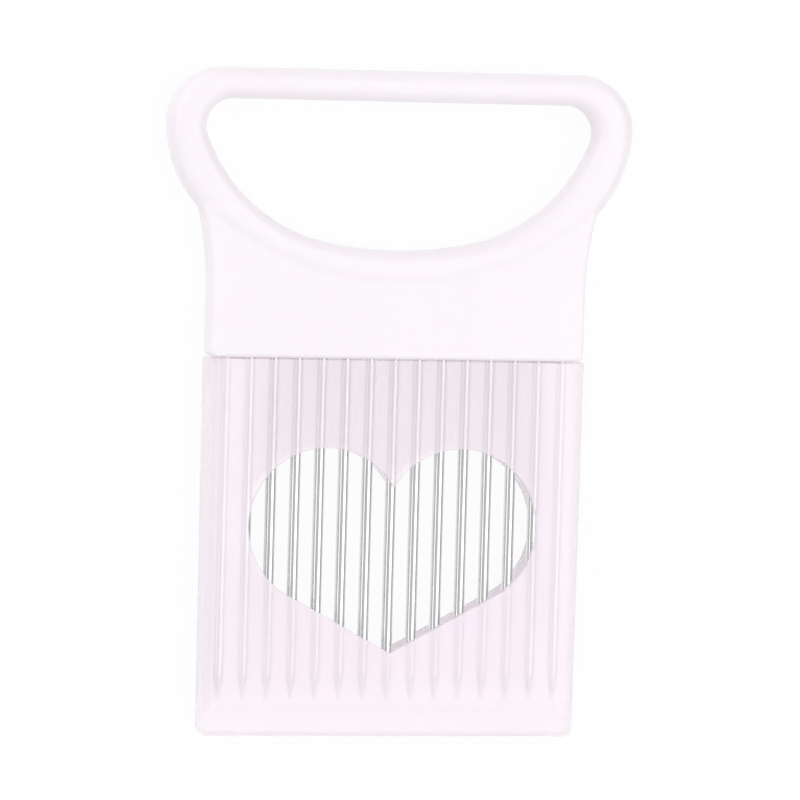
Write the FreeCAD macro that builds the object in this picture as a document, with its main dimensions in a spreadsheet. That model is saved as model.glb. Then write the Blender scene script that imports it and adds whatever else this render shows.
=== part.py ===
"""A vegetable holding comb: a moulded handle, a row of steel tines and a slip-on sheath.

The tool lies on its back. X runs across it, +Y points from the tines to the finger loop and +Z is up.
The origin is under the middle of the tool, on the surface that it lies on. Each piece is drawn about the
middle of the shoulder, where the tines leave the handle, and then put in its place. Sizes are millimetres.
"""

import FreeCAD, Part
import math
import os

import Sketcher
from FreeCAD import Vector

# Driving dimensions

DIMENSIONS = [
    ("tine_count", 15, "tines in the row"),
    ("tine_pitch", 4.42, "tine to tine"),
    ("tine_diameter", 2.0, "round stainless wire"),
    ("tine_reach", 62.0, "shoulder to point"),
    ("tine_root", 13.0, "length held inside the handle"),
    ("tine_point", 4.6, "length of the ground point"),
    ("tine_blunt", 0.15, "radius left at the very end of the point"),
    ("side_clearance", 0.5, "outer tines to the side walls at the closed end of the cavity"),
    ("tip_clearance", 0.9, "tines to the front and back walls at the closed end of the cavity"),
    ("mouth_clearance", 1.3, "tines to the front and back walls at the mouth"),
    ("point_clearance", 1.8, "points to the closed end of the cavity"),
    ("mouth_wall", 1.1, "front and back walls at the mouth"),
    ("side_wall", 2.0, "side walls of the sheath"),
    ("end_wall", 4.6, "solid end of the sheath beyond the cavity"),
    ("sheath_draft", 0.25, "taper of each side of the sheath, in degrees"),
    ("sheath_edge", 1.6, "rounding along the sheath's edges"),
    ("sheath_corner", 1.5, "corners of the closed end, seen from the front"),
    ("lip_depth", 2.4, "length of the thinner lip at the mouth"),
    ("lip_step", 0.35, "how much thinner the lip is than the wall"),
    ("seam_gap", 0.2, "shoulder to mouth when the sheath is on"),
    ("heart_lobe", 14.2, "radius of the heart window's two lobes"),
    ("heart_spread", 12.3, "middle of the sheath to the centre of a lobe"),
    ("heart_drop", 30.1, "mouth to the centres of the lobes"),
    ("heart_tip", 53.0, "mouth to the point of the heart"),
    ("heart_edge", 0.3, "rounding of the window's rim"),
    ("web_inset", 0.3, "how far the web's sides lie inside the mouth's"),
    ("web_proud", 0.2, "how far the web stands proud of the sheath"),
    ("web_height", 19.5, "shoulder to the bottom of the finger opening"),
    ("web_edge", 0.9, "rounding along the web's edges"),
    ("web_corner", 1.2, "corners of the web at the shoulder, seen from the front"),
    ("flare_radius", 60.0, "hollow curve of the web's sides"),
    ("flare_below", 7.5, "start of the flare, below the bottom of the finger opening"),
    ("flare_above", 10.5, "end of the flare inside the loop, above the bottom of the finger opening"),
    ("opening_height", 26.9, "height of the finger opening"),
    ("opening_corner", 5.0, "upper corners of the finger opening"),
    ("opening_side", 30.3, "curve of the opening's sides"),
    ("opening_rise", 7.6, "rise of the curve under the fingers, from its middle to below the corners"),
    ("grip_overhang", 8.25, "how far the loop reaches out beyond the web's sides"),
    ("grip_proud", 0.4, "how far the loop stands proud of the web"),
    ("grip_top", 5.55, "bar over the finger opening"),
    ("grip_side", 6.9, "arms beside the finger opening"),
    ("grip_base", 6.8, "rim under the middle of the finger opening"),
    ("grip_corner", 10.0, "outer upper corners of the loop"),
    ("grip_curve", 23.2, "curve of the loop's outer sides"),
    ("grip_rise", 10.7, "rise of the rim's lower edge, from its middle to below the corners"),
    ("grip_round", 2.7, "rounding of the loop's front and back"),
    ("crease_round", 3.0, "hollow rounding where the loop meets the web"),
]

# Sizes that follow from the driving dimensions; roundings are limited by the walls that they round

DERIVED = [
    ("row_length", "(dims.tine_count - 1) * dims.tine_pitch"),
    ("row_half", "sizes.row_length / 2"),
    ("tine_radius", "dims.tine_diameter / 2"),
    ("cavity_length", "dims.tine_reach - dims.seam_gap + dims.point_clearance"),
    ("cavity_end_y", "dims.seam_gap + sizes.cavity_length"),
    ("cavity_end_width", "sizes.row_length + dims.tine_diameter + 2 * dims.side_clearance"),
    ("cavity_end_depth", "dims.tine_diameter + 2 * dims.tip_clearance"),
    ("cavity_taper", "2 * sizes.cavity_length * tan(dims.sheath_draft)"),
    ("cavity_mouth_width", "sizes.cavity_end_width + sizes.cavity_taper"),
    ("cavity_mouth_depth", "dims.tine_diameter + 2 * dims.mouth_clearance"),
    ("lip_width", "sizes.cavity_mouth_width + 2 * dims.lip_step"),
    ("lip_gap", "sizes.cavity_mouth_depth + 2 * dims.lip_step"),
    ("sheath_length", "sizes.cavity_length + dims.end_wall"),
    ("sheath_mouth_width", "sizes.cavity_mouth_width + 2 * dims.side_wall"),
    ("sheath_taper", "2 * sizes.sheath_length * tan(dims.sheath_draft)"),
    ("sheath_end_width", "sizes.sheath_mouth_width - sizes.sheath_taper"),
    ("sheath_end_y", "dims.seam_gap + sizes.sheath_length"),
    ("sheath_depth", "sizes.cavity_mouth_depth + 2 * dims.mouth_wall"),
    ("sheath_rounding", "min(dims.sheath_edge; 0.8 * dims.sheath_corner; 0.45 * sizes.sheath_depth)"),
    ("heart_cut", "2 * sizes.sheath_depth"),
    ("heart_centre_y", "dims.seam_gap + dims.heart_drop"),
    ("heart_tip_y", "dims.seam_gap + dims.heart_tip"),
    ("heart_rounding", "min(dims.heart_edge; 0.8 * dims.mouth_wall)"),
    ("web_half_width", "sizes.sheath_mouth_width / 2 - dims.web_inset"),
    ("web_depth", "sizes.sheath_depth + 2 * dims.web_proud"),
    ("web_rounding", "min(dims.web_edge; 0.8 * dims.web_corner; 0.45 * sizes.web_depth)"),
    ("flare_start_y", "dims.web_height - dims.flare_below"),
    ("flare_end_y", "dims.web_height + dims.flare_above"),
    ("opening_top", "dims.web_height + dims.opening_height"),
    ("loop_top", "sizes.opening_top + dims.grip_top"),
    ("loop_depth", "sizes.web_depth + 2 * dims.grip_proud"),
    ("loop_half_width", "sizes.web_half_width + dims.grip_overhang"),
    ("loop_corner_x", "sizes.loop_half_width - dims.grip_corner"),
    ("opening_corner_x", "sizes.loop_half_width - dims.grip_side - dims.opening_corner"),
    ("rim_corner_x", "(sizes.loop_corner_x + sizes.opening_corner_x) / 2"),
    ("rim_rise", "(dims.grip_rise + dims.opening_rise) / 2"),
    ("loop_base", "(sizes.loop_corner_x ^ 2 / dims.grip_rise + dims.grip_rise) / 2"),
    ("opening_base", "(sizes.opening_corner_x ^ 2 / dims.opening_rise + dims.opening_rise) / 2"),
    ("rim_base", "(sizes.rim_corner_x ^ 2 / sizes.rim_rise + sizes.rim_rise) / 2"),
    ("loop_base_y", "dims.web_height - dims.grip_base + sizes.loop_base"),
    ("opening_base_y", "dims.web_height + sizes.opening_base"),
    ("rim_base_y", "dims.web_height - dims.grip_base / 2 + sizes.rim_base"),
    ("loop_thinnest", "min(dims.grip_top; dims.grip_side; dims.grip_base; sizes.loop_depth)"),
    ("loop_rounding", "min(dims.grip_round; 0.49 * sizes.loop_thinnest)"),
    ("shoulder_y", "(sizes.sheath_end_y - sizes.loop_top) / 2"),
    ("middle_z", "sizes.loop_depth / 2"),
]

doc = FreeCAD.newDocument("holding_comb")
sheet = doc.addObject("Spreadsheet::Sheet", "dims")
for row, (alias, amount, note) in enumerate(DIMENSIONS, start=1):
    sheet.set(f"A{row}", alias)
    sheet.set(f"B{row}", str(amount))
    sheet.setAlias(f"B{row}", alias)
    sheet.set(f"C{row}", note)
doc.recompute()
sizes = doc.addObject("App::VarSet", "sizes")
for name, rule in DERIVED:
    sizes.addProperty("App::PropertyFloat", name, "Sizes")
    sizes.setExpression(name, rule)
doc.recompute()


def value(name):
    """The present value of a size, such as dims.web_edge or sizes.web_depth."""
    holder, size = name.split(".")
    return float(getattr(doc.getObject(holder), size))


# Bodies, sketches and features

START, END, CENTRE = range(1, 4)
X_AXIS, Y_AXIS = -1, -2
ORIGIN = (X_AXIS, START)
NEAR = 1e-4


def new_body(label):
    body = doc.addObject("PartDesign::Body", label)
    body.Label = label
    return body


def put_in_place(body):
    """Moves a body from the middle of the shoulder to its place in the tool."""
    body.setExpression("Placement.Base.y", "sizes.shoulder_y")
    body.setExpression("Placement.Base.z", "sizes.middle_z")


def new_sketch(body, name, role="XY_Plane", shift=None):
    """A sketch on one of the body's own planes, moved along the plane's normal by a size."""
    sketch = body.newObject("Sketcher::SketchObject", name)
    plane = next(p for p in body.Origin.OriginFeatures if p.Role == role)
    sketch.AttachmentSupport = (plane, [""])
    sketch.MapMode = "FlatFace"
    if shift:
        sketch.setExpression("AttachmentOffset.Base.z", shift)
    return sketch


def line(start, end):
    return Part.LineSegment(Vector(*start), Vector(*end))


def arc(centre, radius, first, last):
    """A counter-clockwise arc between two angles in degrees."""
    circle = Part.Circle(Vector(*centre), Vector(0, 0, 1), radius)
    return Part.ArcOfCircle(circle, math.radians(first), math.radians(last))


def direction(start, end):
    """The angle of the way from one point to another, in degrees."""
    return math.degrees(math.atan2(end[1] - start[1], end[0] - start[0]))


def add_curves(sketch, curves):
    """Adds curves to the sketch and returns their numbers."""
    return [sketch.addGeometry(curve) for curve in curves]


def add_polygon(sketch, corners):
    """Adds a closed ring of straight sides and returns their numbers."""
    ends = corners[1:] + corners[:1]
    sides = add_curves(sketch, [line(start, end) for start, end in zip(corners, ends)])
    for side, following in zip(sides, sides[1:] + sides[:1]):
        tie(sketch, "Coincident", side, END, following, START)
    return sides


def tie(sketch, kind, *where):
    """A constraint without a size."""
    sketch.addConstraint(Sketcher.Constraint(kind, *where))


def drive(sketch, size, kind, *where):
    """A constraint that follows a size."""
    index = sketch.addConstraint(Sketcher.Constraint(kind, *where, value(size)))
    sketch.setExpression(f"Constraints[{index}]", size)


def add_rectangle(sketch, width, depth):
    """A rectangle about the sketch's origin."""
    x, y = value(width) / 2, value(depth) / 2
    bottom, right, top, left = add_polygon(sketch, [(-x, -y), (x, -y), (x, y), (-x, y)])
    for side in (bottom, top):
        tie(sketch, "Horizontal", side)
    for side in (right, left):
        tie(sketch, "Vertical", side)
    tie(sketch, "Symmetric", bottom, START, top, START, *ORIGIN)
    drive(sketch, width, "DistanceX", bottom, START, bottom, END)
    drive(sketch, depth, "DistanceY", right, START, right, END)


def pad_both_ways(body, name, sketch, depth):
    """A pad that grows equally to both sides of its sketch."""
    pad = body.newObject("PartDesign::Pad", name)
    pad.Profile = sketch
    pad.SideType = "Symmetric"
    pad.setExpression("Length", depth)
    doc.recompute()
    return pad


def pocket(body, name, sketch, depth, sides="One side", along_normal=False):
    """A pocket, against the sketch's normal unless told otherwise, that has to remove material."""
    before = body.Shape.Volume
    cut = body.newObject("PartDesign::Pocket", name)
    cut.Profile = sketch
    cut.SideType = sides
    cut.Reversed = along_normal
    cut.setExpression("Length", depth)
    doc.recompute()
    if cut.Shape.Volume > before - NEAR:
        raise RuntimeError(f"{name} removes nothing")
    return cut


def fillet(body, name, base, picks, radius):
    """Rounds the edges of a feature that a test picks."""
    edges = [f"Edge{number}" for number, edge in enumerate(base.Shape.Edges, start=1) if picks(edge)]
    rounding = body.newObject("PartDesign::Fillet", name)
    rounding.Base = (base, edges)
    rounding.setExpression("Radius", radius)
    doc.recompute()
    return rounding


def on_face(edge, depth):
    """True for an edge of the flat front or back of a slab of that depth."""
    box = edge.BoundBox
    return box.ZLength < NEAR and abs(abs(box.ZMin) - value(depth) / 2) < NEAR


# Handle: the finger loop, a rounded bar bent to a half-round outline


LOOP_EDGE = {
    "top": "sizes.loop_top",
    "corner": "dims.grip_corner",
    "corner_x": "sizes.loop_corner_x",
    "side": "dims.grip_curve",
    "base": "sizes.loop_base",
    "base_y": "sizes.loop_base_y",
}
OPENING_EDGE = {
    "top": "sizes.opening_top",
    "corner": "dims.opening_corner",
    "corner_x": "sizes.opening_corner_x",
    "side": "dims.opening_side",
    "base": "sizes.opening_base",
    "base_y": "sizes.opening_base_y",
}


def right_hand_meeting(first, first_radius, second, second_radius):
    """Where circles about two points meet, to the right of the way from the first point to the second."""
    gap = math.dist(first, second)
    along = (gap**2 + first_radius**2 - second_radius**2) / (2 * gap)
    across = math.sqrt(first_radius**2 - along**2)
    way_x, way_y = (second[0] - first[0]) / gap, (second[1] - first[1]) / gap
    return (first[0] + along * way_x + across * way_y, first[1] + along * way_y - across * way_x)


def add_half_round(sketch, edge):
    """A straight top, rounded corners, full sides and a shallow base, each tangent to the next."""
    top, corner, corner_x, side, base, base_y = (value(size) for size in edge.values())
    right_corner_centre = (corner_x, top - corner)
    left_corner_centre = (-corner_x, top - corner)
    side_x, side_y = right_hand_meeting((0, base_y), base - side, right_corner_centre, side - corner)
    low = direction((0, base_y), (side_x, side_y))
    high = direction((side_x, side_y), right_corner_centre)
    curves = [
        arc((0, base_y), base, -180 - low, low),
        arc((side_x, side_y), side, low, high),
        arc(right_corner_centre, corner, high, 90),
        line((corner_x, top), (-corner_x, top)),
        arc(left_corner_centre, corner, 90, 180 - high),
        arc((-side_x, side_y), side, 180 - high, 180 - low),
    ]
    ring = add_curves(sketch, curves)
    for curve, following in zip(ring, ring[1:] + ring[:1]):
        tie(sketch, "Tangent", curve, END, following, START)
    floor, right, right_corner, bar, left_corner, left = ring
    tie(sketch, "Equal", right, left)
    tie(sketch, "Equal", right_corner, left_corner)
    tie(sketch, "Symmetric", bar, START, bar, END, Y_AXIS)
    tie(sketch, "PointOnObject", floor, CENTRE, Y_AXIS)
    drive(sketch, edge["base"], "Radius", floor)
    drive(sketch, edge["side"], "Radius", right)
    drive(sketch, edge["corner"], "Radius", right_corner)
    drive(sketch, edge["top"], "DistanceY", *ORIGIN, bar, START)
    drive(sketch, edge["base_y"], "DistanceY", *ORIGIN, floor, CENTRE)
    drive(sketch, edge["corner_x"], "DistanceX", *ORIGIN, right_corner, CENTRE)


def add_finger_loop(body):
    outline = new_sketch(body, "loop_outline")
    add_half_round(outline, LOOP_EDGE)
    add_half_round(outline, OPENING_EDGE)
    loop = pad_both_ways(body, "finger_loop", outline, "sizes.loop_depth")

    def rim(edge):
        return on_face(edge, "sizes.loop_depth")

    return fillet(body, "loop_rounding", loop, rim, "sizes.loop_rounding")


# Handle: the flat web that holds the tines and flares out into the loop


def add_web_outline(sketch):
    """Shoulder, corners, upright sides and flares, and a top that lies hidden inside the loop's rim."""
    half = value("sizes.web_half_width")
    corner = value("dims.web_corner")
    flare = value("dims.flare_radius")
    start_y, end_y = value("sizes.flare_start_y"), value("sizes.flare_end_y")
    sweep = math.degrees(math.asin((end_y - start_y) / flare))
    flare_x = half + flare * (1 - math.cos(math.radians(sweep)))
    rim, rim_centre = value("sizes.rim_base"), (0, value("sizes.rim_base_y"))
    rim_y = rim_centre[1] - math.sqrt(rim**2 - half**2)
    rim_end = direction(rim_centre, (half, rim_y))
    curves = [
        line((corner - half, 0), (half - corner, 0)),
        arc((half - corner, corner), corner, -90, 0),
        line((half, corner), (half, start_y)),
        arc((half + flare, start_y), flare, 180 - sweep, 180),
        line((flare_x, end_y), (half, rim_y)),
        arc(rim_centre, rim, -180 - rim_end, rim_end),
        line((-half, rim_y), (-flare_x, end_y)),
        arc((-half - flare, start_y), flare, 0, sweep),
        line((-half, start_y), (-half, corner)),
        arc((corner - half, corner), corner, 180, 270),
    ]
    ring = add_curves(sketch, curves)
    shoulder, corner_r, side_r, flare_r, top_r, rim_arc, top_l, flare_l, side_l, corner_l = ring
    tie(sketch, "Tangent", shoulder, END, corner_r, START)
    tie(sketch, "Tangent", corner_r, END, side_r, START)
    tie(sketch, "Tangent", side_r, END, flare_r, END)
    tie(sketch, "Tangent", flare_l, START, side_l, START)
    tie(sketch, "Tangent", side_l, END, corner_l, START)
    tie(sketch, "Tangent", corner_l, END, shoulder, START)
    tie(sketch, "Coincident", flare_r, START, top_r, START)
    tie(sketch, "Coincident", top_r, END, rim_arc, END)
    tie(sketch, "Coincident", rim_arc, START, top_l, START)
    tie(sketch, "Coincident", top_l, END, flare_l, END)
    tie(sketch, "Symmetric", shoulder, START, shoulder, END, Y_AXIS)
    tie(sketch, "Symmetric", side_l, START, side_r, END, Y_AXIS)
    tie(sketch, "Symmetric", flare_l, END, flare_r, START, Y_AXIS)
    tie(sketch, "PointOnObject", rim_arc, CENTRE, Y_AXIS)
    tie(sketch, "Horizontal", rim_arc, START, rim_arc, END)
    tie(sketch, "Equal", corner_r, corner_l)
    tie(sketch, "PointOnObject", shoulder, START, X_AXIS)
    tie(sketch, "Vertical", side_r)
    drive(sketch, "sizes.web_half_width", "DistanceX", *ORIGIN, side_r, END)
    drive(sketch, "dims.web_corner", "Radius", corner_r)
    drive(sketch, "dims.flare_radius", "Radius", flare_r)
    drive(sketch, "sizes.flare_start_y", "DistanceY", *ORIGIN, side_r, END)
    drive(sketch, "sizes.flare_end_y", "DistanceY", *ORIGIN, flare_r, START)
    drive(sketch, "sizes.rim_base", "Radius", rim_arc)
    drive(sketch, "sizes.rim_base_y", "DistanceY", *ORIGIN, rim_arc, CENTRE)
    drive(sketch, "sizes.web_half_width", "DistanceX", *ORIGIN, rim_arc, END)


def make_web():
    body = new_body("web")
    outline = new_sketch(body, "web_outline")
    add_web_outline(outline)
    slab = pad_both_ways(body, "web_slab", outline, "sizes.web_depth")

    def below_the_loop(edge):
        return on_face(edge, "sizes.web_depth") and edge.BoundBox.YMin < value("sizes.flare_start_y") + NEAR

    fillet(body, "web_rounding", slab, below_the_loop, "sizes.web_rounding")
    return body


def make_handle():
    """One moulding: the loop and the web, with a blind socket in the shoulder for each tine."""
    web = make_web()
    body = new_body("handle")
    loop = add_finger_loop(body)
    skins = [loop.Shape.Shells[0], web.Shape.Shells[0]]
    joined = body.newObject("PartDesign::Boolean", "loop_and_web")
    joined.setObjects([web])
    joined.Type = "Fuse"
    doc.recompute()

    def crease(edge):
        middle = Part.Vertex(edge.valueAt((edge.FirstParameter + edge.LastParameter) / 2))
        return all(middle.distToShape(skin)[0] < NEAR for skin in skins)

    fillet(body, "crease_rounding", joined, crease, "dims.crease_round")
    outline = new_sketch(body, "socket_outline", "XZ_Plane")
    first_centre = Vector(-value("sizes.row_half"), 0, 0)
    hole = outline.addGeometry(Part.Circle(first_centre, Vector(0, 0, 1), value("sizes.tine_radius")))
    tie(outline, "PointOnObject", hole, CENTRE, X_AXIS)
    drive(outline, "sizes.row_half", "DistanceX", hole, CENTRE, *ORIGIN)
    drive(outline, "sizes.tine_radius", "Radius", hole)
    first_socket = pocket(body, "first_socket", outline, "dims.tine_root")
    socket_row = body.newObject("PartDesign::LinearPattern", "socket_row")
    socket_row.Originals = [first_socket]
    socket_row.Direction = (outline, ["H_Axis"])
    socket_row.setExpression("Length", "sizes.row_length")
    socket_row.setExpression("Occurrences", "dims.tine_count")
    body.Tip = socket_row
    put_in_place(body)
    doc.recompute()
    return body


# Tines: straight round wire with a ground point, pressed into the sockets


def make_tine(number):
    body = new_body(f"tine_{number:02d}")
    profile = new_sketch(body, "half_profile")
    radius, blunt = value("sizes.tine_radius"), value("dims.tine_blunt")
    root_y, point_y = value("dims.tine_root"), -value("dims.tine_reach")
    shank_y = point_y + value("dims.tine_point")
    corners = [(0, root_y), (0, point_y), (blunt, point_y), (radius, shank_y), (radius, root_y)]
    core, tip, cone, shank, root = add_polygon(profile, corners)
    tie(profile, "PointOnObject", core, START, Y_AXIS)
    tie(profile, "PointOnObject", core, END, Y_AXIS)
    tie(profile, "Horizontal", tip)
    tie(profile, "Vertical", shank)
    tie(profile, "Horizontal", root)
    drive(profile, "dims.tine_root", "DistanceY", *ORIGIN, core, START)
    drive(profile, "dims.tine_reach", "DistanceY", core, END, *ORIGIN)
    drive(profile, "dims.tine_blunt", "DistanceX", tip, START, tip, END)
    drive(profile, "dims.tine_point", "DistanceY", cone, START, cone, END)
    drive(profile, "sizes.tine_radius", "DistanceX", *ORIGIN, shank, START)
    wire = body.newObject("PartDesign::Revolution", "wire")
    wire.Profile = profile
    wire.ReferenceAxis = (profile, ["V_Axis"])
    wire.Angle = 360
    put_in_place(body)
    body.setExpression("Placement.Base.x", f"{number - 1} * dims.tine_pitch - sizes.row_half")
    doc.recompute()
    return body


# Sheath: a flat tapered case, closed at the far end, with a heart window through both walls


def add_case_outline(sketch):
    mouth, end = value("sizes.sheath_mouth_width") / 2, value("sizes.sheath_end_width") / 2
    mouth_y, end_y = -value("dims.seam_gap"), -value("sizes.sheath_end_y")
    corners = [(-end, end_y), (end, end_y), (mouth, mouth_y), (-mouth, mouth_y)]
    closed_end, right, rim, left = add_polygon(sketch, corners)
    tie(sketch, "Symmetric", closed_end, START, closed_end, END, Y_AXIS)
    tie(sketch, "Symmetric", rim, START, rim, END, Y_AXIS)
    drive(sketch, "sizes.sheath_end_width", "DistanceX", closed_end, START, closed_end, END)
    drive(sketch, "sizes.sheath_mouth_width", "DistanceX", rim, END, rim, START)
    drive(sketch, "dims.seam_gap", "DistanceY", rim, START, *ORIGIN)
    drive(sketch, "sizes.sheath_end_y", "DistanceY", closed_end, START, *ORIGIN)


def add_heart(sketch):
    """Two round lobes that meet in a cleft, and two straight sides that run from them to the point."""
    lobe, spread = value("dims.heart_lobe"), value("dims.heart_spread")
    centre = (spread, -value("sizes.heart_centre_y"))
    point = (0, -value("sizes.heart_tip_y"))
    point_to_centre = math.dist(point, centre)
    side = math.sqrt(point_to_centre**2 - lobe**2)
    slope = math.radians(direction(point, centre)) - math.asin(lobe / point_to_centre)
    touch = (side * math.cos(slope), point[1] + side * math.sin(slope))
    cleft = (0, centre[1] + math.sqrt(lobe**2 - spread**2))
    first, last = direction(centre, touch), direction(centre, cleft)
    curves = [
        line(point, touch),
        arc(centre, lobe, first, last),
        arc((-centre[0], centre[1]), lobe, 180 - last, 180 - first),
        line((-touch[0], touch[1]), point),
    ]
    right_side, right_lobe, left_lobe, left_side = add_curves(sketch, curves)
    tie(sketch, "Tangent", right_side, END, right_lobe, START)
    tie(sketch, "Coincident", right_lobe, END, left_lobe, START)
    tie(sketch, "Tangent", left_lobe, END, left_side, START)
    tie(sketch, "Coincident", left_side, END, right_side, START)
    tie(sketch, "Equal", right_lobe, left_lobe)
    tie(sketch, "Symmetric", right_lobe, CENTRE, left_lobe, CENTRE, Y_AXIS)
    tie(sketch, "PointOnObject", right_side, START, Y_AXIS)
    drive(sketch, "dims.heart_lobe", "Radius", right_lobe)
    drive(sketch, "dims.heart_spread", "DistanceX", *ORIGIN, right_lobe, CENTRE)
    drive(sketch, "sizes.heart_centre_y", "DistanceY", right_lobe, CENTRE, *ORIGIN)
    drive(sketch, "sizes.heart_tip_y", "DistanceY", right_side, START, *ORIGIN)


def add_cavity(body):
    """A hollow that narrows towards the points, so that it closes in on the row of tines."""
    mouth = new_sketch(body, "cavity_mouth", "XZ_Plane", "dims.seam_gap")
    add_rectangle(mouth, "sizes.cavity_mouth_width", "sizes.cavity_mouth_depth")
    end = new_sketch(body, "cavity_end", "XZ_Plane", "sizes.cavity_end_y")
    add_rectangle(end, "sizes.cavity_end_width", "sizes.cavity_end_depth")
    cavity = body.newObject("PartDesign::SubtractiveLoft", "cavity")
    cavity.Profile = mouth
    cavity.Sections = [end]
    cavity.Ruled = True
    doc.recompute()


def make_sheath():
    body = new_body("sheath")
    outline = new_sketch(body, "case_outline")
    add_case_outline(outline)
    case = pad_both_ways(body, "case", outline, "sizes.sheath_depth")
    end_y = -value("sizes.sheath_end_y")
    window_half_width = value("dims.heart_spread") + value("dims.heart_lobe")

    def end_corner(edge):
        return edge.BoundBox.ZLength > NEAR and abs(edge.BoundBox.YMin - end_y) < NEAR

    def side_or_end(edge):
        return on_face(edge, "sizes.sheath_depth") and edge.BoundBox.YMin < end_y / 2

    def window_rim(edge):
        reach = max(abs(edge.BoundBox.XMin), abs(edge.BoundBox.XMax))
        return on_face(edge, "sizes.sheath_depth") and reach < window_half_width + NEAR

    case = fillet(body, "end_corners", case, end_corner, "dims.sheath_corner")
    fillet(body, "case_rounding", case, side_or_end, "sizes.sheath_rounding")
    add_cavity(body)
    lip = new_sketch(body, "lip_outline", "XZ_Plane", "dims.seam_gap")
    add_rectangle(lip, "sizes.lip_width", "sizes.lip_gap")
    pocket(body, "lip", lip, "dims.lip_depth", along_normal=True)
    heart = new_sketch(body, "heart_outline")
    add_heart(heart)
    window = pocket(body, "heart_window", heart, "sizes.heart_cut", "Symmetric")
    fillet(body, "window_rounding", window, window_rim, "sizes.heart_rounding")
    put_in_place(body)
    doc.recompute()
    return body


# Build, check and write the pieces

tine_numbers = range(1, int(value("dims.tine_count")) + 1)
pieces = [make_handle(), *map(make_tine, tine_numbers), make_sheath()]

for thing in doc.Objects:
    if "Invalid" in thing.State or "Error" in thing.State:
        raise RuntimeError(f"{thing.Label} failed: {thing.State}")
for piece in pieces:
    if piece.Shape.isNull() or not piece.Shape.isValid() or len(piece.Shape.Solids) != 1:
        raise RuntimeError(f"{piece.Label} is not one sound solid")

os.makedirs("parts", exist_ok=True)
for piece in pieces:
    piece.Shape.exportStep(f"parts/{piece.Label}.step")
    print(f"{piece.Label}: {piece.Shape.Volume:.1f} mm3, {piece.Shape.BoundBox}")
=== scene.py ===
import math

import bpy
from mathutils import Matrix, Vector


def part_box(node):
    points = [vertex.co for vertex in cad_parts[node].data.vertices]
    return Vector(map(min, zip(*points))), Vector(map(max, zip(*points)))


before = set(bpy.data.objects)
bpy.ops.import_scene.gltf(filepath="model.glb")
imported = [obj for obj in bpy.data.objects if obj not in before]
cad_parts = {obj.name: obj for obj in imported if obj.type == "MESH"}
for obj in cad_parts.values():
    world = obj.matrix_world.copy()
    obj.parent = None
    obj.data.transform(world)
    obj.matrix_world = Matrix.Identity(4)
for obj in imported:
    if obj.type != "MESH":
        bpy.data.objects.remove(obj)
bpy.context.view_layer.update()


# Handle
# One injection moulding in white polypropylene: a rounded finger loop that flows into the flat web.
# The mould is finely polished, so the skin has a soft gloss, faint flow clouds and a slight lilac tint.

HANDLE_LILAC = (0.93, 0.875, 0.925, 1.0)
HANDLE_PALE = (0.955, 0.9, 0.95, 1.0)
HANDLE_FLOW = 0.018
HANDLE_FLOW_STRETCH = (1.0, 0.4, 1.0)
HANDLE_GRAIN = 0.0006
HANDLE_GRAIN_DEPTH = 0.000012
HANDLE_ROUGHNESS = (0.3, 0.42)
HANDLE_IOR = 1.49
SCATTER_SHARE = 0.2
SCATTER_REACH = 0.002
SCATTER_BY_COLOUR = (1.0, 0.8, 0.9)
CLOUD_LOW = 0.3
CLOUD_HIGH = 0.7


def new_material(name):
    """An empty node material with a Principled shader and the piece's own coordinates."""
    material = bpy.data.materials.new(name)
    material.use_nodes = True
    nodes = material.node_tree.nodes
    place = nodes.new("ShaderNodeTexCoord")
    return material, nodes["Principled BSDF"], place.outputs["Object"]


def feed(material, socket, value):
    """Gives a socket a number, a colour or the output of another node."""
    if isinstance(value, bpy.types.NodeSocket):
        material.node_tree.links.new(value, socket)
    else:
        socket.default_value = value


def cloud(material, place, size, detail, stretch=(1.0, 1.0, 1.0)):
    """Soft noise whose features are about one size across, drawn out along an axis by a small stretch."""
    mapping = material.node_tree.nodes.new("ShaderNodeMapping")
    feed(material, mapping.inputs["Vector"], place)
    feed(material, mapping.inputs["Scale"], stretch)
    noise = material.node_tree.nodes.new("ShaderNodeTexNoise")
    feed(material, noise.inputs["Vector"], mapping.outputs["Vector"])
    feed(material, noise.inputs["Scale"], 1.0 / size)
    feed(material, noise.inputs["Detail"], detail)
    return noise.outputs["Fac"]


def ramp(material, amount, start, end, first, last, course="LINEAR"):
    """Goes from one value to another as an amount goes from start to end."""
    step = material.node_tree.nodes.new("ShaderNodeMapRange")
    step.interpolation_type = course
    feed(material, step.inputs["Value"], amount)
    feed(material, step.inputs["From Min"], start)
    feed(material, step.inputs["From Max"], end)
    feed(material, step.inputs["To Min"], first)
    feed(material, step.inputs["To Max"], last)
    return step.outputs["Result"]


def spread(material, noise, low, high):
    """Turns noise into a value between two limits."""
    return ramp(material, noise, CLOUD_LOW, CLOUD_HIGH, low, high)


def between(material, share, first, last, kind="FLOAT"):
    """A mixture of two numbers, colours or outputs, by a share from 0 to 1."""
    mix = material.node_tree.nodes.new("ShaderNodeMix")
    mix.data_type = kind
    feed(material, mix.inputs["Factor"], share)
    feed(material, mix.inputs["A"], first)
    feed(material, mix.inputs["B"], last)
    return mix.outputs["Result"]


def tint(material, share, first, last):
    """A colour that drifts between two near shades."""
    return between(material, share, first, last, "RGBA")


def relief(material, height, depth):
    """A shallow bump of a given depth in metres."""
    bump = material.node_tree.nodes.new("ShaderNodeBump")
    feed(material, bump.inputs["Strength"], 1.0)
    feed(material, bump.inputs["Distance"], depth)
    feed(material, bump.inputs["Height"], height)
    return bump.outputs["Normal"]


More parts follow.
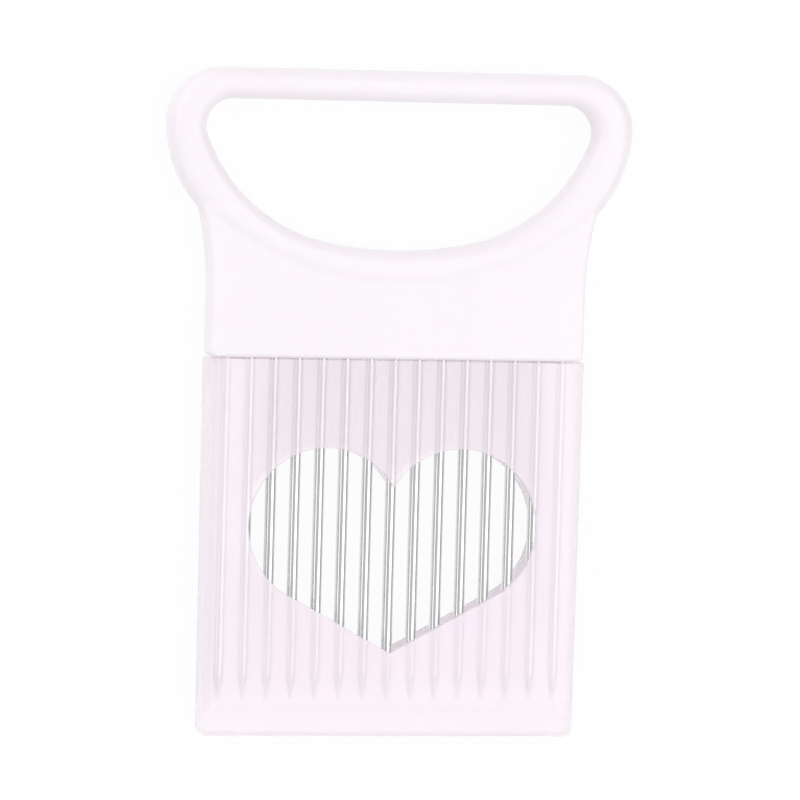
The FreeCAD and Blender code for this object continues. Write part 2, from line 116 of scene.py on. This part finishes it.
def white_polypropylene():
    """White plastic with a fine mould grain, in which a little light scatters under the skin."""
    material, shader, place = new_material("white_polypropylene")
    flow = cloud(material, place, HANDLE_FLOW, detail=2.0, stretch=HANDLE_FLOW_STRETCH)
    grain = cloud(material, place, HANDLE_GRAIN, detail=4.0)
    feed(material, shader.inputs["Base Color"], tint(material, flow, HANDLE_LILAC, HANDLE_PALE))
    feed(material, shader.inputs["Roughness"], spread(material, grain, *HANDLE_ROUGHNESS))
    feed(material, shader.inputs["Normal"], relief(material, grain, HANDLE_GRAIN_DEPTH))
    shader.inputs["IOR"].default_value = HANDLE_IOR
    shader.inputs["Subsurface Weight"].default_value = SCATTER_SHARE
    shader.inputs["Subsurface Radius"].default_value = SCATTER_BY_COLOUR
    shader.inputs["Subsurface Scale"].default_value = SCATTER_REACH
    return material


def dress(node, material):
    """Gives a solid its finish."""
    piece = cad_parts[node]
    piece.data.materials.clear()
    piece.data.materials.append(material)


dress("handle", white_polypropylene())


# Tines
# Straight stainless wire, drawn and polished, so fine lines run along it. The free end is ground to a
# point, which leaves a rougher cone that is also painted darker, as painted shade for the dim
# surroundings its slope reflects, and the other end is pressed into the handle's shoulder.

POINT_LENGTH = 0.0046
DRAWN_DARK = (0.74, 0.74, 0.745, 1.0)
DRAWN_BRIGHT = (0.8, 0.8, 0.8, 1.0)
DRAWN_ROUGHNESS = (0.1, 0.2)
DRAWN_LINE = 0.00012
DRAWN_LINE_STRETCH = (1.0, 0.01, 1.0)
DRAWN_LINE_DEPTH = 0.000003
# The ground point's steel is painted darker: painted shade for the dim surroundings its slope reflects.
GROUND_STEEL_PAINTED_DARK = (0.64, 0.64, 0.645, 1.0)
GROUND_ROUGHER = 0.18


def coordinates(material, place):
    """The piece's own X, Y and Z, each as a value."""
    split = material.node_tree.nodes.new("ShaderNodeSeparateXYZ")
    feed(material, split.inputs["Vector"], place)
    return split.outputs["X"], split.outputs["Y"], split.outputs["Z"]


def combine(material, operation, *amounts):
    """The result of a sum, product or the like of coordinates and values."""
    step = material.node_tree.nodes.new("ShaderNodeMath")
    step.operation = operation
    for socket, amount in zip(step.inputs, amounts):
        feed(material, socket, amount)
    return step.outputs["Value"]


def drawn_steel(point_start):
    """Bright steel with fine lines along the wire; where the point is ground it is rougher, and painted
    darker as shade for the dim surroundings its slope reflects.
    """
    material, shader, place = new_material("drawn_steel")
    along = coordinates(material, place)[1]
    ground_and_shaded_point = combine(material, "LESS_THAN", along, point_start)
    lines = cloud(material, place, DRAWN_LINE, detail=2.0, stretch=DRAWN_LINE_STRETCH)
    drawn = tint(material, lines, DRAWN_DARK, DRAWN_BRIGHT)
    polish = spread(material, lines, *DRAWN_ROUGHNESS)
    roughness = combine(material, "MULTIPLY_ADD", ground_and_shaded_point, GROUND_ROUGHER, polish)
    # Painted shade: the ground point gets a darker steel colour than the shank.
    feed(material, shader.inputs["Base Color"], tint(material, ground_and_shaded_point, drawn, GROUND_STEEL_PAINTED_DARK))
    feed(material, shader.inputs["Roughness"], roughness)
    feed(material, shader.inputs["Normal"], relief(material, lines, DRAWN_LINE_DEPTH))
    shader.inputs["Metallic"].default_value = 1.0
    return material


tines = sorted(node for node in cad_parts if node.startswith("tine_"))
steel = drawn_steel(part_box(tines[0])[0].y + POINT_LENGTH)
for tine in tines:
    dress(tine, steel)


# Sheath
# One thin moulding in natural polypropylene, left uncoloured, so it is hazy and lets the tines show.
# It is pushed over the tines from their points and stops against the shoulder.

END_WALL = 0.0046
SIDE_WALL = 0.002
SIDE_DRAFT = math.radians(0.25)
SKIN_DEPTH = 0.0005
SIDE_FADE = 0.014
END_FADE = 0.012
END_BLEND = 0.003
SHEATH_LILAC = (0.955, 0.865, 0.94, 1.0)
SHEATH_PALE = (0.995, 0.9, 0.975, 1.0)
SHEATH_ROUGHNESS = (0.5, 0.56)
SHEATH_IOR = 1.2
SHEATH_FLOW = 0.014
SHEATH_FLOW_STRETCH = (1.0, 0.35, 1.0)
SHEATH_FLOW_HAZE = (0.94, 1.06)
SHEATH_GRAIN = 0.002
THIN_HAZE = 0.63
THICK_HAZE = 0.97
SOLID_HAZE = 0.5
CAVITY_HAZE = 0.52
THIN_GLOW = 0.35
THICK_GLOW = 0.29
SOLID_GLOW = 0.55
# Painted brightening: the cavity's back face is made clearer, for light coming up from the table.
BACK_PAINTED_GLOW = 0.8
LAMPS_THROUGH = 0.7


def ease(material, amount, start, end, first=0.0, last=1.0):
    """Goes smoothly from one value to another as an amount goes from start to end."""
    return ramp(material, amount, start, end, first, last, "SMOOTHSTEP")


def wall_zones(material, side, along, low, high):
    """Shares that say how thick the walls look, where they are solid, and where the cavity runs out."""
    end_zone = low.y + END_WALL
    side_zone = high.x - SIDE_WALL
    to_side = ease(material, side, side_zone - SIDE_FADE, side_zone)
    to_end = ease(material, along, high.y, end_zone)
    thick = combine(material, "MAXIMUM", to_end, to_side)
    solid_side = ease(material, side, side_zone - SIDE_WALL, side_zone + SIDE_WALL)
    solid_end = ease(material, along, end_zone + END_BLEND, end_zone - END_BLEND)
    solid = combine(material, "MAXIMUM", solid_end, solid_side)
    near_end = ease(material, along, end_zone + END_FADE, end_zone)
    cavity_out = combine(material, "MAXIMUM", near_end, to_side)
    return thick, solid, cavity_out


def outer_skin(material, side, along, from_middle, low, high):
    """1 close under an outer face, and 0 on the faces of the cavity."""
    taper = math.tan(SIDE_DRAFT)
    half_width = combine(material, "MULTIPLY_ADD", along, taper, high.x - high.y * taper)
    under_side = combine(material, "SUBTRACT", half_width, side)
    under_face = combine(material, "SUBTRACT", (high.z - low.z) / 2, from_middle)
    under_end = combine(material, "SUBTRACT", along, low.y)
    under_rim = combine(material, "SUBTRACT", high.y, along)
    under_long = combine(material, "MINIMUM", under_face, under_side)
    under_short = combine(material, "MINIMUM", under_end, under_rim)
    under_skin = combine(material, "MINIMUM", under_long, under_short)
    return combine(material, "LESS_THAN", under_skin, SKIN_DEPTH)


def natural_polypropylene(low, high):
    """Hazy skins, thickest at the solid sides and end, where the cavity's own skins fade out."""
    material, shader, place = new_material("natural_polypropylene")
    across, along, height = coordinates(material, place)
    side = combine(material, "ABSOLUTE", across)
    above_middle = combine(material, "SUBTRACT", height, (low.z + high.z) / 2)
    from_middle = combine(material, "ABSOLUTE", above_middle)
    flow = cloud(material, place, SHEATH_FLOW, detail=3.0, stretch=SHEATH_FLOW_STRETCH)
    grain = cloud(material, place, SHEATH_GRAIN, detail=2.0)
    thick, solid, cavity_out = wall_zones(material, side, along, low, high)
    outside = outer_skin(material, side, along, from_middle, low, high)

    outer_haze = ease(material, thick, 0.0, 1.0, THIN_HAZE, THICK_HAZE)
    outer_haze = between(material, solid, outer_haze, SOLID_HAZE)
    inner_haze = ease(material, cavity_out, 0.0, 1.0, CAVITY_HAZE, 0.0)
    haze = between(material, outside, inner_haze, outer_haze)
    haze = combine(material, "MULTIPLY", haze, spread(material, flow, *SHEATH_FLOW_HAZE))

    # Mirrored rays pass the haze more freely, so that the lamps still draw lines along the covered tines.
    ray = material.node_tree.nodes.new("ShaderNodeLightPath")
    mirrored = combine(material, "MULTIPLY", ray.outputs["Is Glossy Ray"], LAMPS_THROUGH)
    veiled = combine(material, "SUBTRACT", 1.0, mirrored)

    # The cavity's back face is given more transmission than its front, a painted brightening that stands
    # in for the light coming up through it from the pale table.
    glow = ease(material, thick, 0.0, 1.0, THIN_GLOW, THICK_GLOW)
    glow = between(material, solid, glow, SOLID_GLOW)
    behind = combine(material, "LESS_THAN", above_middle, 0.0)
    inside = combine(material, "SUBTRACT", 1.0, outside)
    cavity_back = combine(material, "MULTIPLY", behind, inside)
    glow = between(material, cavity_back, glow, BACK_PAINTED_GLOW)

    pale = between(material, flow, thick, 1.0)
    feed(material, shader.inputs["Base Color"], tint(material, pale, SHEATH_LILAC, SHEATH_PALE))
    feed(material, shader.inputs["Roughness"], spread(material, grain, *SHEATH_ROUGHNESS))
    feed(material, shader.inputs["Alpha"], combine(material, "MULTIPLY", haze, veiled))
    feed(material, shader.inputs["Transmission Weight"], glow)
    shader.inputs["IOR"].default_value = SHEATH_IOR
    return material


dress("sheath", natural_polypropylene(*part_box("sheath")))


# Floor
# A plain pale table top, wide enough to fill every view, that keeps the tool's soft shadow.
# To the camera, to steel and through plastic it is almost white.

FLOOR_SIZE = 8.0
TABLE_PALE = (0.95, 0.95, 0.95, 1.0)
WHITE = (1.0, 1.0, 1.0, 1.0)
WHITE_SHARE = 0.93


def pale_table():
    """A matt top, mixed with plain white where the camera, a mirror or a clear wall looks at it."""
    material = bpy.data.materials.new("pale_table")
    material.use_nodes = True
    nodes = material.node_tree.nodes
    nodes.remove(nodes["Principled BSDF"])
    matt = nodes.new("ShaderNodeBsdfDiffuse")
    feed(material, matt.inputs["Color"], TABLE_PALE)
    white = nodes.new("ShaderNodeEmission")
    feed(material, white.inputs["Color"], WHITE)
    feed(material, white.inputs["Strength"], 1.0)
    ray = nodes.new("ShaderNodeLightPath")
    direct = combine(material, "MAXIMUM", ray.outputs["Is Camera Ray"], ray.outputs["Is Glossy Ray"])
    seen = combine(material, "MAXIMUM", direct, ray.outputs["Is Transmission Ray"])
    top = nodes.new("ShaderNodeMixShader")
    matt_socket, white_socket = top.inputs[1], top.inputs[2]
    feed(material, top.inputs["Fac"], combine(material, "MULTIPLY", seen, WHITE_SHARE))
    feed(material, matt_socket, matt.outputs["BSDF"])
    feed(material, white_socket, white.outputs["Emission"])
    feed(material, nodes["Material Output"].inputs["Surface"], top.outputs["Shader"])
    return material


bpy.ops.object.select_all(action="DESELECT")
bpy.ops.mesh.primitive_plane_add(size=FLOOR_SIZE, location=(0, 0, 0))
floor = bpy.context.object
floor.name = "floor"
floor.data.materials.append(pale_table())


# Light
# Even studio light: a dim surround, softboxes to the left, above and to the right that draw the lines
# along the tines, and one beyond each end of the tool for its curved edges.

SURROUND = 0.37
LAMP_DISTANCE = 1.0

world = bpy.data.worlds.new("studio")
bpy.context.scene.world = world
world.use_nodes = True
surround = world.node_tree.nodes["Background"]
surround.inputs["Color"].default_value = WHITE
surround.inputs["Strength"].default_value = SURROUND


def softbox(name, lean, swing, width, length, brightness):
    """A soft lamp that leans from straight above towards +X and swings towards the loop, in degrees."""
    lean, swing = math.radians(lean), math.radians(swing)
    lamp = bpy.data.lights.new(name, "AREA")
    lamp.shape = "RECTANGLE"
    lamp.size = width
    lamp.size_y = length
    lamp.energy = brightness * math.pi * width * length
    holder = bpy.data.objects.new(name, lamp)
    holder.location = LAMP_DISTANCE * Vector((
        math.sin(lean) * math.cos(swing),
        math.sin(swing),
        math.cos(lean) * math.cos(swing),
    ))
    holder.rotation_euler = (-swing, lean, 0)
    holder.visible_camera = False
    bpy.context.scene.collection.objects.link(holder)


softbox("left_softbox", lean=-56.0, swing=0.0, width=0.42, length=1.4, brightness=1.1)
softbox("top_softbox", lean=-6.0, swing=0.0, width=1.0, length=1.4, brightness=0.25)
softbox("right_softbox", lean=33.0, swing=0.0, width=0.93, length=1.4, brightness=1.4)
softbox("loop_softbox", lean=-60.0, swing=45.0, width=0.9, length=0.9, brightness=1.3)
softbox("point_softbox", lean=0.0, swing=-55.0, width=0.9, length=0.9, brightness=0.6)


# Camera
# The tool is seen from above with a long lens, from a little to the left and slightly from the loop's
# side. The picture is turned a little, as the tool lies in the photograph.

PICTURE = 800
SENSOR = 36.0
FOCAL_PIXELS = 6080.0
FROM_LEFT = math.radians(12.0)
FROM_LOOP = math.radians(4.0)
TURN = math.radians(1.591)
DISTANCE = 1.1
FARTHEST = 20.0
AIM = Vector((0.001278, 0.000745, 0.004))

back = Vector((
    -math.sin(FROM_LEFT) * math.cos(FROM_LOOP),
    math.sin(FROM_LOOP),
    math.cos(FROM_LEFT) * math.cos(FROM_LOOP),
))
right = Vector((0, 1, 0)).cross(back).normalized()
up = back.cross(right)
lens = bpy.data.cameras.new("camera")
lens.sensor_width = SENSOR
lens.lens = FOCAL_PIXELS / PICTURE * SENSOR
lens.clip_end = FARTHEST
camera = bpy.data.objects.new("camera", lens)
facing = Matrix((right, up, back)).transposed() @ Matrix.Rotation(TURN, 3, "Z")
camera.matrix_world = Matrix.LocRotScale(AIM + DISTANCE * back, facing.to_quaternion(), None)
bpy.context.scene.collection.objects.link(camera)
bpy.context.scene.camera = camera
bpy.context.scene.view_settings.view_transform = "Standard"
